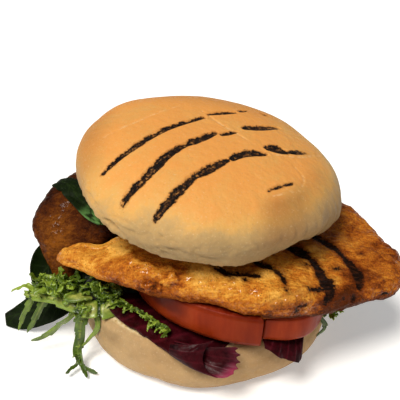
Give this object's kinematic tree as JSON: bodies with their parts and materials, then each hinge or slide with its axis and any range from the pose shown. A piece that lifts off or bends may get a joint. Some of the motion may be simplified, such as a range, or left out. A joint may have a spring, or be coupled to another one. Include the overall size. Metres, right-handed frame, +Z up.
{
  "type": "chicken burger",
  "caption": "Grilled chicken burger: chargrilled chicken, thick tomato, curly endive, red chicory and dark leaves in a soft white round bun with seared stripes.",
  "frame": {"origin": "centre of the bun heel's flat underside, on the surface the burger stands on", "axes": "+Z up through the bun; -Y towards the front, where most of the filling shows; +X to the right seen from the front"},
  "size_m": [0.1718, 0.1241, 0.0948],
  "materials": {
    "bun": "soft baked crust, matt",
    "chicken": "grilled and spiced, moist sheen",
    "chicken_dark": "well browned, moist sheen",
    "tomato": "wet skin, semi-gloss",
    "chicory": "waxy leaf, satin",
    "leaf": "leaf, satin",
    "endive": "leaf, satin"
  },
  "bodies": {
    "root": {"bun_heel": "bun", "bun_crown": "bun", "tomato_left": "tomato", "tomato_right": "tomato", "chicken_front": "chicken", "chicken_back": "chicken_dark", "chicory_scoop": "chicory", "chicory_long": "chicory", "chicory_right": "chicory", "leaf_low": "leaf", "leaf_side": "leaf", "leaf_top": "leaf", "endive": "endive"}
  },
  "joints": []
}
